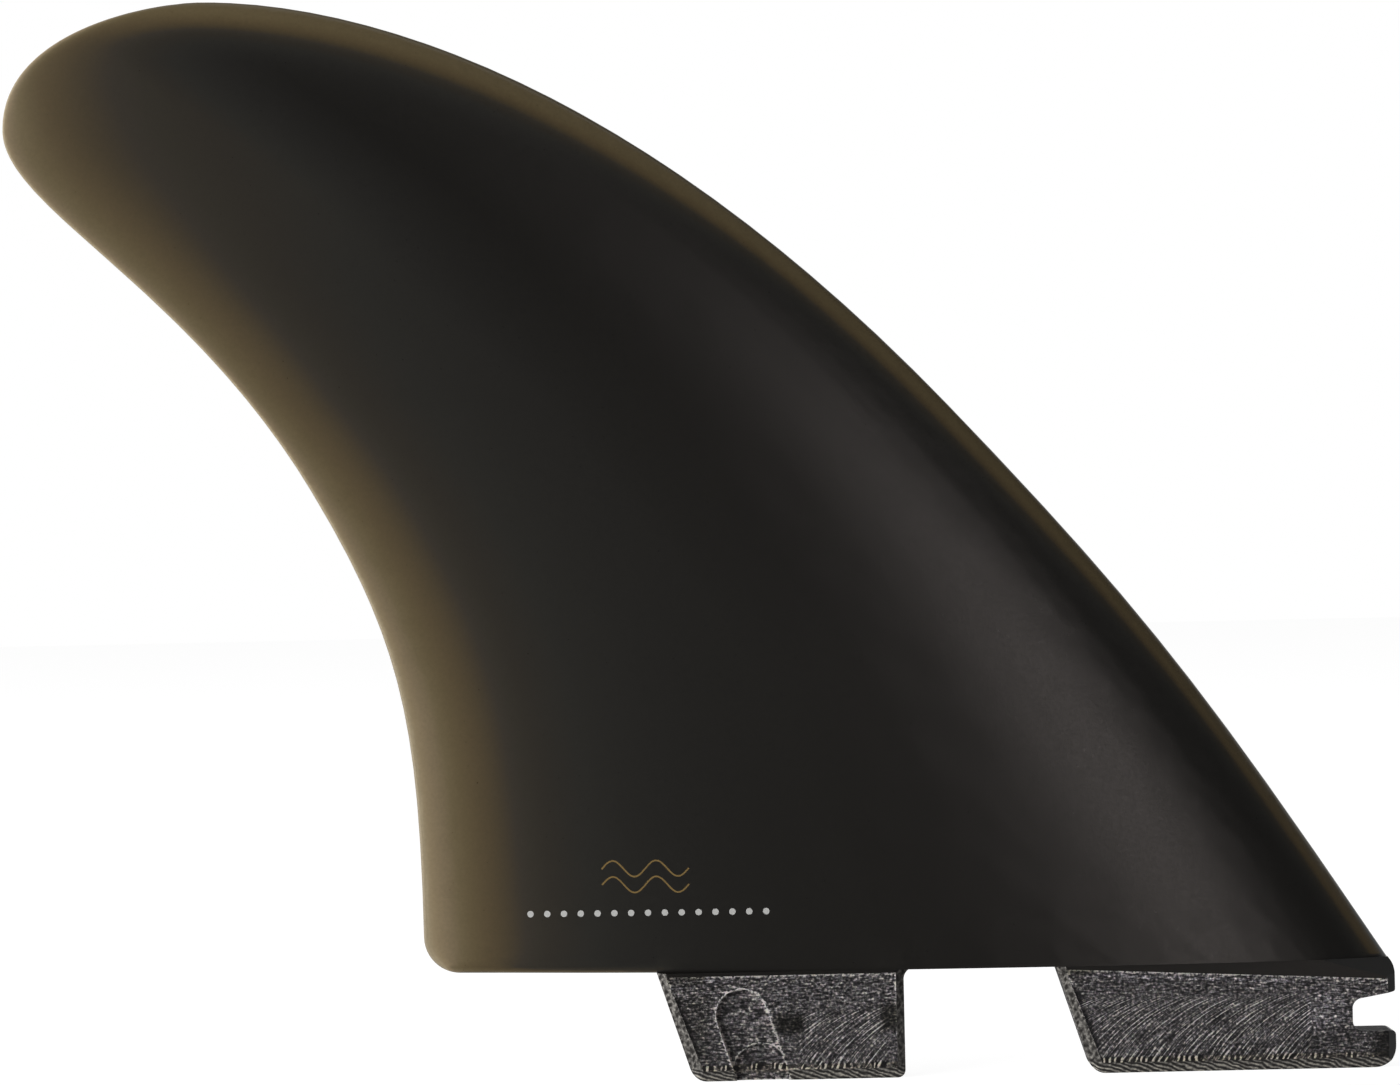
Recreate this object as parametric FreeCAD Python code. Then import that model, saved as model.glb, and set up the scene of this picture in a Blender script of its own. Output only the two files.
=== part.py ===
import FreeCAD, Part
import math
import os

# Surfboard fin: a swept, foiled blade with two base tabs, all cut from one glass laminate.
# Frame: +X forward to the leading edge, +Z out of the board along the blade,
# -Y the curved outer face, +Y the flat inner face.
# Origin: on the board's surface, halfway along the tabs and halfway through them.
# Lengths are in millimetres and angles in degrees.

# Blade outline in side view. Distances back run from the foot of the leading edge.
BASE_LENGTH = 133.0
DEPTH = 135.3
LEAD_FOOT_ANGLE = 123.0
LEAD_FOOT_HANDLE = 43.0
LEAD_MID_BACK = 59.0
LEAD_MID_HEIGHT = 77.5
LEAD_MID_ANGLE = 132.7
LEAD_MID_LOWER_HANDLE = 39.6
LEAD_MID_UPPER_HANDLE = 71.6
CROWN_BACK = 161.5
CROWN_LEAD_HANDLE = 14.0
CROWN_TIP_HANDLE = 6.6
TIP_BACK = 189.0
TIP_DROP = 17.2
TIP_UPPER_HANDLE = 13.7
TIP_LOWER_HANDLE = 10.6
TRAIL_MID_BACK = 147.4
TRAIL_MID_HEIGHT = 67.5
TRAIL_MID_ANGLE = -60.1
TRAIL_MID_UPPER_HANDLE = 33.4
TRAIL_MID_LOWER_HANDLE = 26.0
TRAIL_FOOT_HANDLE = 33.0
TRAIL_CORNER_RADIUS = 5.0
TAIL_LIFT = 0.3

# Foil: flat on the inner face, curved on the outer face.
ROOT_THICKNESS = 8.0
EDGE_THICKNESS = 0.9
NOSE_ROUND = 0.9
EDGE_ROUND = 0.4
WALL_SHARE = 0.44

# The four-digit foil's thickness law: powers of the root of the chord fraction and their factors.
FOIL_LAW = ((1, 2.969), (2, -1.260), (4, -3.516), (6, 2.843), (8, -1.036))

# The foil surface is wider than the outline it is trimmed to, and runs on past the tip by a share of it.
GUIDE_MARGIN = 0.4
TIP_RUN_ON_SHARE = 0.6
SPAN_STATIONS = 16
CHORD_STATIONS = 12
CUT_MARGIN = 2.0
STRIP_DEPTH = 1.2

# Base tabs
TAB_SPAN = 101.4
TAB_THICKNESS = 6.4
TAB_DEPTH = 15.0
TAB_RAKE = 18.0
REAR_TAB_LENGTH = 33.9
FRONT_TAB_LENGTH = 46.6
LEAD_SET_BACK = 0.6
INNER_STEP = 0.3
HEEL_RADIUS = 2.5
REAR_TOE_RADIUS = 1.1
FRONT_TOE_RADIUS = 3.0
REAR_FLARE_RADIUS = 1.5
FRONT_SHOULDER_RADIUS = 2.2

# Bevels round the tabs, the same on both faces
BEVEL_DEPTH = 0.8
FOOT_BEVEL = 1.5
HEEL_BEVEL_TOP = 1.0
HEEL_BEVEL_FOOT = 1.8
TOE_BEVEL = 1.1

# Outer face of the tabs: a smooth skin left standing above the milled flat, and a facet at the nose
SKIN_STEP = 0.2
REAR_SKIN_DROP = 0.5
FRONT_SKIN_DROP = 2.8
NOSE_FACET_LENGTH = 10.2
NOSE_FACET_DEPTH = 3.2

# Hook notch in the front end of the front tab
NOTCH_LENGTH = 6.0
NOTCH_FLOOR_DROP = 9.9
NOTCH_INNER_HEIGHT = 4.3
NOTCH_ROOF_ANGLE = 10.0
NOTCH_INNER_RADIUS = 1.4
NOTCH_FLOOR_LIP_RADIUS = 0.7
NOTCH_ROOF_LIP_RADIUS = 0.35

# Detent groove in both faces of the rear tab
GROOVE_SET_IN = 9.6
GROOVE_TOP_DROP = 5.9
GROOVE_WIDTH = 7.1
GROOVE_DEPTH = 0.9
POCKET_DROP = 13.8
POCKET_RADIUS = 3.9
POCKET_DEPTH = 1.6

SNAP = 0.001


def vec(x, y, z):
    return FreeCAD.Vector(x, y, z)


def in_plane(x, z):
    """A point of the side view, in the plane halfway through the tabs."""
    return vec(x, 0, z)


def along(length, angle):
    """A step in the side view, its angle measured up from the forward axis."""
    turn = math.radians(angle)
    return in_plane(length * math.cos(turn), length * math.sin(turn))


def polygon(*corners):
    """A closed outline from its corners in the side view."""
    points = [in_plane(x, z) for x, z in corners]
    return [Part.makePolygon(points + points[:1])]


def curve(*poles):
    """A Bezier edge from its end points and handles."""
    line = Part.BezierCurve()
    line.setPoles(list(poles))
    return line.toShape()


# Key points of the outline
HALF_TAB = TAB_THICKNESS / 2
SKIN_FACE = -HALF_TAB - SKIN_STEP
INNER_FACE = HALF_TAB - INNER_STEP
TAB_FRONT = TAB_SPAN / 2
TAB_REAR = -TAB_SPAN / 2
LEAD_FOOT = in_plane(TAB_FRONT - LEAD_SET_BACK, 0)
LEAD_MID = in_plane(LEAD_FOOT.x - LEAD_MID_BACK, LEAD_MID_HEIGHT)
CROWN = in_plane(LEAD_FOOT.x - CROWN_BACK, DEPTH)
TIP = in_plane(LEAD_FOOT.x - TIP_BACK, DEPTH - TIP_DROP)
TRAIL_MID = in_plane(LEAD_FOOT.x - TRAIL_MID_BACK, TRAIL_MID_HEIGHT)
TRAIL_FOOT = in_plane(LEAD_FOOT.x - BASE_LENGTH, TAIL_LIFT)
TAIL_ROOT = in_plane(TAB_REAR, 0)

# The blank has a strip below the base, so that the rounded nose runs out cleanly before it is trimmed.
LEAD_SLOPE = math.tan(math.radians(LEAD_FOOT_ANGLE))
STRIP_FRONT = in_plane(LEAD_FOOT.x - STRIP_DEPTH / LEAD_SLOPE, -STRIP_DEPTH)
STRIP_REAR = in_plane(TAIL_ROOT.x, -STRIP_DEPTH)
NOSE_CORNERS = (STRIP_FRONT, LEAD_FOOT, LEAD_MID, CROWN)


def leading_edge():
    lower = curve(
        LEAD_FOOT,
        LEAD_FOOT + along(LEAD_FOOT_HANDLE, LEAD_FOOT_ANGLE),
        LEAD_MID - along(LEAD_MID_LOWER_HANDLE, LEAD_MID_ANGLE),
        LEAD_MID,
    )
    upper = curve(
        LEAD_MID,
        LEAD_MID + along(LEAD_MID_UPPER_HANDLE, LEAD_MID_ANGLE),
        CROWN + in_plane(CROWN_LEAD_HANDLE, 0),
        CROWN,
    )
    return [lower, upper]


def tip_edge():
    return curve(
        CROWN,
        CROWN - in_plane(CROWN_TIP_HANDLE, 0),
        TIP + in_plane(0, TIP_UPPER_HANDLE),
        TIP,
    )


def trailing_edge():
    upper = curve(
        TIP,
        TIP - in_plane(0, TIP_LOWER_HANDLE),
        TRAIL_MID - along(TRAIL_MID_UPPER_HANDLE, TRAIL_MID_ANGLE),
        TRAIL_MID,
    )
    lower = curve(
        TRAIL_MID,
        TRAIL_MID + along(TRAIL_MID_LOWER_HANDLE, TRAIL_MID_ANGLE),
        TRAIL_FOOT + in_plane(0, TRAIL_FOOT_HANDLE),
        TRAIL_FOOT,
    )
    return [upper, lower]


def edges_across(solid, point):
    """The edges that run straight through the fin at a point of the side view."""
    found = []
    for edge in solid.Edges:
        ends = [vertex.Point for vertex in edge.Vertexes]
        flat = [in_plane(end.x, end.z) for end in ends]
        if len(ends) == 2 and all(spot.distanceToPoint(point) < SNAP for spot in flat):
            found.append(edge)
    return found


def round_across(solid, point, radius):
    return solid.makeFillet(radius, edges_across(solid, point))


def plate(outline, near, far):
    """A side-view outline made solid between two planes across the fin."""
    face = Part.Face(Part.Wire(outline))
    face.translate(vec(0, near, 0))
    return face.extrude(vec(0, far - near, 0))


# Blade
def blade_blank():
    """The outline cut square through the panel."""
    outline = [Part.makeLine(STRIP_FRONT, LEAD_FOOT)]
    outline += leading_edge()
    outline.append(tip_edge())
    outline += trailing_edge()
    outline.append(Part.makeLine(TRAIL_FOOT, TAIL_ROOT))
    outline.append(Part.makeLine(TAIL_ROOT, STRIP_REAR))
    outline.append(Part.makeLine(STRIP_REAR, STRIP_FRONT))
    blank = plate(outline, INNER_FACE - ROOT_THICKNESS - CUT_MARGIN, INNER_FACE)
    return round_across(blank, TRAIL_FOOT, TRAIL_CORNER_RADIUS)


def guide(edges, shift):
    """Evenly spaced stations along an edge of the foil surface, set just outside the outline."""
    wire = Part.Wire(edges)
    wire.translate(shift)
    return wire.discretize(Number=SPAN_STATIONS + 1)


def foil_fullness(root_fraction):
    return sum(factor * root_fraction**power for power, factor in FOIL_LAW)


def foil_body():
    """Everything behind the curved outer surface, on past the flat inner face."""
    foot_run_on = STRIP_DEPTH + CUT_MARGIN
    lead_start = Part.makeLine(LEAD_FOOT - along(foot_run_on, LEAD_FOOT_ANGLE), LEAD_FOOT)
    lead_end = Part.makeLine(CROWN, CROWN + in_plane(TIP_RUN_ON_SHARE * (TIP.x - CROWN.x), 0))
    trail_start = Part.makeLine(TRAIL_FOOT - in_plane(0, foot_run_on), TRAIL_FOOT)
    trail_end = Part.makeLine(TIP, TIP + in_plane(0, TIP_RUN_ON_SHARE * TIP_DROP))
    lead = guide([lead_start] + leading_edge() + [lead_end], in_plane(GUIDE_MARGIN, GUIDE_MARGIN))
    trail = guide([trail_start] + trailing_edge()[::-1] + [trail_end], in_plane(-GUIDE_MARGIN, 0))
    gain = (ROOT_THICKNESS - EDGE_THICKNESS) / BASE_LENGTH
    rows = []
    for front, back in zip(lead, trail):
        chord = front.distanceToPoint(back)
        row = []
        for station in range(CHORD_STATIONS + 1):
            root_fraction = station / CHORD_STATIONS
            spot = front + (back - front) * root_fraction**2
            thickness = EDGE_THICKNESS + gain * chord * foil_fullness(root_fraction)
            row.append(vec(spot.x, INNER_FACE - thickness, spot.z))
        rows.append(row)
    surface = Part.BSplineSurface()
    surface.interpolate(rows)
    return surface.toShape().extrude(vec(0, ROOT_THICKNESS + CUT_MARGIN, 0))


def rim_radius(body, point):
    """How far the rim is rounded at one of its corners: more on the nose, and never past its wall."""
    corner = in_plane(point.x, point.z)
    on_nose = any(corner.distanceToPoint(nose) < SNAP for nose in NOSE_CORNERS)
    wall = edges_across(body, corner)[0].Length
    return min(NOSE_ROUND if on_nose else EDGE_ROUND, WALL_SHARE * wall)


def rim_edges(body):
    """The number and end radii of each long edge, from the front foot round to the rear tab."""
    rim = []
    for number, edge in enumerate(body.Edges, 1):
        start = edge.firstVertex().Point
        end = edge.lastVertex().Point
        flat = [in_plane(start.x, start.z), in_plane(end.x, end.z)]
        across = flat[0].distanceToPoint(flat[1]) < SNAP
        on_strip = any(spot.distanceToPoint(STRIP_REAR) < SNAP for spot in flat)
        if not across and not on_strip:
            rim.append((number, rim_radius(body, start), rim_radius(body, end)))
    return rim


def round_rim(body):
    """Round both edges of the rim, with the radius easing from corner to corner."""
    document = FreeCAD.newDocument("rim")
    sharp = document.addObject("Part::Feature", "sharp")
    sharp.Shape = body
    rounded = document.addObject("Part::Fillet", "rounded")
    rounded.Base = sharp
    rounded.Edges = rim_edges(body)
    document.recompute()
    return rounded.Shape


def blade():
    """The foiled blade, its base trimmed flat."""
    body = round_rim(blade_blank().common(foil_body()).Solids[0])
    rear = STRIP_REAR.x - CUT_MARGIN
    front = STRIP_FRONT.x + CUT_MARGIN
    floor = STRIP_REAR.z - CUT_MARGIN
    strip = polygon((rear, 0), (front, 0), (front, floor), (rear, floor))
    return body.cut(plate(strip, -ROOT_THICKNESS, ROOT_THICKNESS))


# Tabs
def shave(solid, first, second, third, waste_side):
    """Cut off what lies beyond the plane through three points, towards the waste side."""
    normal = (second - first).cross(third - first)
    if normal.dot(waste_side - first) < 0:
        normal = -normal
    reach = TAB_SPAN
    waste = Part.makeBox(2 * reach, 2 * reach, reach, vec(-reach, -reach, 0))
    waste.Placement = FreeCAD.Placement(first, FreeCAD.Rotation(vec(0, 0, 1), normal))
    return solid.cut(waste)


RAKE_RUN = TAB_DEPTH * math.tan(math.radians(TAB_RAKE))


def bevelled(tab, rear, front):
    """Bevel the foot, the raked heel and the toe of a tab on both faces."""
    for side in (-1, 1):
        face = side * HALF_TAB
        deep = side * (HALF_TAB - BEVEL_DEPTH)
        beyond = side * TAB_SPAN
        tab = shave(
            tab,
            vec(rear, face, FOOT_BEVEL - TAB_DEPTH),
            vec(front, face, FOOT_BEVEL - TAB_DEPTH),
            vec(front, deep, -TAB_DEPTH),
            vec(front, beyond, -TAB_SPAN),
        )
        tab = shave(
            tab,
            vec(rear + HEEL_BEVEL_TOP, face, 0),
            vec(rear + RAKE_RUN + HEEL_BEVEL_FOOT, face, -TAB_DEPTH),
            vec(rear, deep, 0),
            vec(rear - TAB_SPAN, beyond, 0),
        )
        tab = shave(
            tab,
            vec(front - TOE_BEVEL, face, 0),
            vec(front - TOE_BEVEL, face, -TAB_DEPTH),
            vec(front, deep, 0),
            vec(front + TAB_SPAN, beyond, 0),
        )
    return tab


def milled(tab, rear, front, rear_drop, front_drop):
    """Mill the outer face flat below a line that runs from one drop to the other."""
    floor = -TAB_DEPTH - CUT_MARGIN
    outline = polygon((rear, -rear_drop), (front, -front_drop), (front, floor), (rear, floor))
    return tab.cut(plate(outline, SKIN_FACE - CUT_MARGIN, -HALF_TAB))


def faceted(tab):
    """Slope the skin back to the blade's nose, where the blade is thinner than the tab."""
    return shave(
        tab,
        vec(TAB_FRONT - NOSE_FACET_LENGTH, SKIN_FACE, 0),
        vec(TAB_FRONT, SKIN_FACE, -FRONT_SKIN_DROP),
        vec(TAB_FRONT, SKIN_FACE + NOSE_FACET_DEPTH, 0),
        vec(TAB_FRONT, -TAB_SPAN, 0),
    )


def groove():
    """The detent groove in one face: a raked slot with a round top, and a deeper round pocket low down."""
    tilt = math.tan(math.radians(TAB_RAKE))
    top = in_plane(TAB_REAR + GROOVE_SET_IN + GROOVE_TOP_DROP * tilt, -GROOVE_TOP_DROP)
    foot = top + along(TAB_DEPTH, TAB_RAKE - 90)
    wide = along(GROOVE_WIDTH / 2, TAB_RAKE)
    crest = top + along(GROOVE_WIDTH / 2, TAB_RAKE + 90)
    outline = [
        Part.Arc(top + wide, crest, top - wide).toShape(),
        Part.makeLine(top - wide, foot - wide),
        Part.makeLine(foot - wide, foot + wide),
        Part.makeLine(foot + wide, top + wide),
    ]
    outer = -HALF_TAB - CUT_MARGIN
    slot = plate(outline, outer, -HALF_TAB + GROOVE_DEPTH)
    deep_slot = plate(outline, outer, -HALF_TAB + POCKET_DEPTH)
    centre = in_plane(top.x + (POCKET_DROP - GROOVE_TOP_DROP) * tilt, -POCKET_DROP)
    pocket = Part.makeCylinder(POCKET_RADIUS, TAB_THICKNESS, vec(centre.x, outer, centre.z), vec(0, 1, 0))
    return slot.fuse(deep_slot.common(pocket))


def rear_tab():
    """The rear tab, flared into the blade's base in front and grooved on both faces."""
    front = TAB_REAR + REAR_TAB_LENGTH
    heel = in_plane(TAB_REAR + RAKE_RUN, -TAB_DEPTH)
    toe = in_plane(front, -TAB_DEPTH)
    flare_start = in_plane(front, -REAR_FLARE_RADIUS)
    flare_end = in_plane(front + REAR_FLARE_RADIUS, 0)
    centre = in_plane(front + REAR_FLARE_RADIUS, -REAR_FLARE_RADIUS)
    outline = [
        Part.makeLine(TAIL_ROOT, heel),
        Part.makeLine(heel, toe),
        Part.makeLine(toe, flare_start),
        Part.Arc(flare_start, centre + along(REAR_FLARE_RADIUS, 135), flare_end).toShape(),
        Part.makeLine(flare_end, TAIL_ROOT),
    ]
    tab = plate(outline, SKIN_FACE, HALF_TAB)
    tab = round_across(tab, heel, HEEL_RADIUS)
    tab = round_across(tab, toe, REAR_TOE_RADIUS)
    tab = milled(tab, TAB_REAR, front, REAR_SKIN_DROP, REAR_SKIN_DROP)
    tab = bevelled(tab, TAB_REAR, front)
    outer_groove = groove()
    inner_groove = outer_groove.mirror(vec(0, 0, 0), vec(0, 1, 0))
    return tab.cut(outer_groove).cut(inner_groove)


def notch():
    """The hook notch: a flat floor, a roof that opens towards the front and a rounded inner end."""
    inner = TAB_FRONT - NOTCH_LENGTH
    mouth = TAB_FRONT + CUT_MARGIN
    floor = -NOTCH_FLOOR_DROP
    roof = floor + NOTCH_INNER_HEIGHT
    mouth_roof = roof + (mouth - inner) * math.tan(math.radians(NOTCH_ROOF_ANGLE))
    outline = polygon((inner, floor), (mouth, floor), (mouth, mouth_roof), (inner, roof))
    body = plate(outline, -TAB_THICKNESS, TAB_THICKNESS)
    body = round_across(body, in_plane(inner, floor), NOTCH_INNER_RADIUS)
    return round_across(body, in_plane(inner, roof), NOTCH_INNER_RADIUS)


def front_tab():
    """The front tab: raked heel, hook notch, and a front end that follows the blade's nose down."""
    rear = TAB_FRONT - FRONT_TAB_LENGTH
    heel = in_plane(rear + RAKE_RUN, -TAB_DEPTH)
    toe = in_plane(TAB_FRONT, -TAB_DEPTH)
    shoulder = in_plane(TAB_FRONT, LEAD_SET_BACK * LEAD_SLOPE)
    outline = polygon((rear, 0), (heel.x, heel.z), (toe.x, toe.z), (shoulder.x, shoulder.z), (LEAD_FOOT.x, 0))
    tab = plate(outline, SKIN_FACE, HALF_TAB)
    tab = round_across(tab, heel, HEEL_RADIUS)
    tab = round_across(tab, toe, FRONT_TOE_RADIUS)
    tab = round_across(tab, shoulder, FRONT_SHOULDER_RADIUS)
    tab = tab.cut(notch())
    floor_lip = in_plane(TAB_FRONT, -NOTCH_FLOOR_DROP)
    rise = NOTCH_LENGTH * math.tan(math.radians(NOTCH_ROOF_ANGLE))
    roof_lip = floor_lip + in_plane(0, NOTCH_INNER_HEIGHT + rise)
    tab = round_across(tab, floor_lip, NOTCH_FLOOR_LIP_RADIUS)
    tab = round_across(tab, roof_lip, NOTCH_ROOF_LIP_RADIUS)
    tab = milled(tab, rear, TAB_FRONT, REAR_SKIN_DROP, FRONT_SKIN_DROP)
    return faceted(bevelled(tab, rear, TAB_FRONT))


fin = blade().fuse([rear_tab(), front_tab()]).removeSplitter().Solids[0]
os.makedirs("parts", exist_ok=True)
fin.exportStep("parts/fin.step")
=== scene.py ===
"""Visual model of a swept, foiled surfboard fin in smoke-tinted glass laminate.

The fin is one piece: a satin blade that turns brown where its wall is thin, on two milled base tabs.
Everything is in metres in the frame of the construction model; sizes below are in millimetres.
"""

import logging
import math
from dataclasses import dataclass, field
from enum import Enum

import bpy
import numpy as np
from mathutils import Matrix, Vector
from mathutils.bvhtree import BVHTree
from mathutils.geometry import delaunay_2d_cdt
from mathutils.kdtree import KDTree


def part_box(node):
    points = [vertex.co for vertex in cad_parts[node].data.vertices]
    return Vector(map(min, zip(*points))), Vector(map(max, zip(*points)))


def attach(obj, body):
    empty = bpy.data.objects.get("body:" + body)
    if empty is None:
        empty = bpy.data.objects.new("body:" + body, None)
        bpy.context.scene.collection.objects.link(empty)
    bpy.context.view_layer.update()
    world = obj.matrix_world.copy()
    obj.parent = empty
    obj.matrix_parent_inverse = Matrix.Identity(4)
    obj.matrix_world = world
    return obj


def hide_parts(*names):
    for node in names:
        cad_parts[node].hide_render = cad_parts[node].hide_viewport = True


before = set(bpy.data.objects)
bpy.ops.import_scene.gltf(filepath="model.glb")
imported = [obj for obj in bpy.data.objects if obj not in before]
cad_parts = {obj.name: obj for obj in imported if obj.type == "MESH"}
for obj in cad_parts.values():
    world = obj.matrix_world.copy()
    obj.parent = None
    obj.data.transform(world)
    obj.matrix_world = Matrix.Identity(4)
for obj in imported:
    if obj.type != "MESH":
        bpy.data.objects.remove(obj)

LOG = logging.getLogger("fin")
MM = 0.001
# Places from zero to one and the hex colour at each
Tones = tuple[tuple[float, str], ...]
Span = tuple[float, float]
Triple = tuple[float, float, float]
Row = tuple[float, ...]
Tree = bpy.types.NodeTree
Socket = bpy.types.NodeSocket
BODY = "root"
LIGHT_ATTRIBUTE = "light_through"
# Light lines along the tabs' edges, and painted shadow lines inside the heels
EDGE_ATTRIBUTE = "milled_edge"
# Watts for each square metre of a lamp that looks as bright as a white wall in full light
LAMP_POWER = 4.0
# Half of what is sure to hold the fin's thickness, in millimetres
CLEAR = 10.0
# Two points this close in the side view are one, in millimetres
SAME_POINT = 1e-7
# A lattice point keeps this share of its pitch clear of the outline
LATTICE_GAP = 0.4
# Stands in for a length of nothing where one divides
TINY = 1e-12
# Lattice points measured at once, which keeps the tables small
BATCH = 2000
# A face looks along an axis if at least this much of its normal lies along it
FACING = 0.9
# The sockets of a range node, in the order in which their values are given
RANGE = ("Value", "From Min", "From Max", "To Min", "To Max")


class Skin(Enum):
    """The surface that a stretch of the laminate was left with."""

    SANDED = 0
    MILLED = 1
    BEVELLED = 2


def linear(code: str) -> tuple[float, float, float, float]:
    """Turn an sRGB hex colour into linear light.

    Args:
        code: Six hex digits after a hash sign.

    Returns:
        Red, green, blue and an alpha of one.
    """
    channels = [int(code[i : i + 2], 16) / 255 for i in (1, 3, 5)]
    light = [c / 12.92 if c <= 0.04045 else ((c + 0.055) / 1.055) ** 2.4 for c in channels]
    return light[0], light[1], light[2], 1.0


def add_node(
    tree: Tree,
    kind: str,
    inputs: dict | None = None,
    out: int | str = 0,
    tones: Tones = (),
    **settings: object,
) -> Socket | None:
    """Add a shader node, set it up and link what feeds it.

    Args:
        tree: The node tree to add to.
        kind: The node's type name.
        inputs: Socket name or index to a value, or to the output socket that feeds it.
        out: The output that is wanted.
        tones: The colours of a ramp.
        settings: The node's own properties.

    Returns:
        The output socket, or nothing where the node has none.
    """
    node = tree.nodes.new(kind)
    for name, value in settings.items():
        setattr(node, name, value)
    for number, (place, code) in enumerate(tones):
        stops = node.color_ramp.elements
        if number > 1:
            stops.new(place)
        stops[number].position = place
        stops[number].color = linear(code)
    for key, value in (inputs or {}).items():
        if isinstance(value, Socket):
            tree.links.new(value, node.inputs[key])
        else:
            node.inputs[key].default_value = value
    return node.outputs[out] if node.outputs else None


def add_object(name: str, data: bpy.types.ID) -> bpy.types.Object:
    """Put a new object into the scene.

    Args:
        name: Its name.
        data: Its mesh, lamp or camera.

    Returns:
        The object.
    """
    thing = bpy.data.objects.new(name, data)
    bpy.context.scene.collection.objects.link(thing)
    return thing


def new_material(name: str) -> tuple[bpy.types.Material, Tree]:
    """Start an empty node material.

    Args:
        name: What the material really is.

    Returns:
        The material and its node tree.
    """
    material = bpy.data.materials.new(name)
    material.use_nodes = True
    material.node_tree.nodes.clear()
    return material, material.node_tree


def finish_surface(
    tree: Tree,
    colour: Socket | tuple,
    roughness: Socket | float,
    ior: float,
    height: Socket | None = None,
    relief: float = 0.0,
) -> None:
    """End a material in one opaque surface, with a relief where it has one.

    Args:
        tree: The node tree to add to.
        colour: The colour, or the socket that feeds it.
        roughness: The roughness, or the socket that feeds it.
        ior: The index of refraction.
        height: The relief's height, from zero to one.
        relief: How deep the relief is, in millimetres.
    """
    inputs = {"Base Color": colour, "Roughness": roughness, "IOR": ior}
    if height is not None:
        bump = {"Height": height, "Distance": relief * MM, "Strength": 1.0}
        inputs["Normal"] = add_node(tree, "ShaderNodeBump", bump)
    shader = add_node(tree, "ShaderNodeBsdfPrincipled", inputs)
    add_node(tree, "ShaderNodeOutputMaterial", {"Surface": shader})


class Place:
    """The place on the fin in millimetres, as sockets of one material's node tree."""

    def __init__(self, tree: Tree) -> None:
        """Add the nodes that find it.

        Args:
            tree: The node tree to add to.
        """
        where = add_node(tree, "ShaderNodeTexCoord", out="Object")
        self.tree = tree
        self.spot = add_node(tree, "ShaderNodeVectorMath", {0: where, "Scale": 1 / MM}, operation="SCALE")
        axes = add_node(tree, "ShaderNodeSeparateXYZ", {0: self.spot}).node.outputs
        self.x, self.z = axes["X"], axes["Z"]


def stretched_noise(tree: Tree, spot: Socket, rates: Triple, detail: float) -> Socket:
    """Make noise that may be finer one way than another.

    Args:
        tree: The node tree to add to.
        spot: A place in millimetres.
        rates: Marks for each millimetre along each axis.
        detail: How many finer layers it has.

    Returns:
        The noise, from zero to one.
    """
    scaled = add_node(tree, "ShaderNodeVectorMath", {0: spot, 1: rates}, operation="MULTIPLY")
    return add_node(tree, "ShaderNodeTexNoise", {"Vector": scaled, "Scale": 1.0, "Detail": detail})


def wandering_wave(tree: Tree, turns: Socket, noise: Socket, drift: float) -> Socket:
    """Make a wave whose phase noise shifts, so that its crests are unevenly spaced.

    Args:
        tree: The node tree to add to.
        turns: The phase, in radians.
        noise: Noise from zero to one.
        drift: How far the noise shifts the phase, in radians.

    Returns:
        The wave, from minus one to one.
    """
    phase = add_node(tree, "ShaderNodeMath", {0: noise, 1: drift, 2: turns}, operation="MULTIPLY_ADD")
    return add_node(tree, "ShaderNodeMath", {0: phase}, operation="SINE")


@dataclass(frozen=True)
class SandedLaminate:
    """Smoke-tinted glass and epoxy, wet-sanded to a satin.

    The light that the tint lets through thin walls is painted into the colour, so the rim reads olive brown
    and the body near black.
    """

    name: str = "satin_smoke_glass_laminate"
    # Light that comes through, as the fin keeps it, and the colour painted there for that light
    tints: Tones = (
        (0.0, "#0d0c0a"),
        (0.1, "#191816"),
        (0.165, "#1f1e1b"),
        (0.225, "#24211c"),
        (0.255, "#27241e"),
        (0.285, "#2b2721"),
        (0.32, "#352e22"),
        (0.36, "#3e3525"),
        (0.4, "#453b29"),
        (0.44, "#4c422e"),
        (0.48, "#554b36"),
        (0.525, "#645844"),
        (0.585, "#746750"),
        (0.65, "#82765f"),
        (0.8, "#766c5a"),
        (1.0, "#6a6251"),
    )
    # Mottle of cloth and resin under the skin, and how far it lifts or lowers the colour
    grain_size: float = 0.45
    grain_share: float = 0.16
    roughness: float = 0.3
    roughness_spread: float = 0.05
    ior: float = 1.52
    # What the last paper left, drawn coarser than its real grit so that it shows
    grit_size: float = 0.12
    grit_depth: float = 0.004

    def material(self) -> bpy.types.Material:
        """Build the material.

        Returns:
            The finished material.
        """
        material, tree = new_material(self.name)
        light = add_node(tree, "ShaderNodeAttribute", out="Fac", attribute_name=LIGHT_ATTRIBUTE)
        ramp = add_node(tree, "ShaderNodeValToRGB", {"Fac": light}, tones=self.tints)
        spot = add_node(tree, "ShaderNodeTexCoord", out="Object")
        grain, grit = (
            add_node(tree, "ShaderNodeTexNoise", {"Vector": spot, "Scale": 1 / size / MM, "Detail": detail})
            for size, detail in ((self.grain_size, 3.0), (self.grit_size, 2.0))
        )
        lift, rough = (
            add_node(tree, "ShaderNodeMapRange", {"Value": grain, "To Min": mid - by, "To Max": mid + by})
            for mid, by in ((1.0, self.grain_share), (self.roughness, self.roughness_spread))
        )
        colour = add_node(tree, "ShaderNodeVectorMath", {0: ramp, "Scale": lift}, operation="SCALE")
        finish_surface(tree, colour, rough, self.ior, grit, self.grit_depth)
        return material


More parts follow.
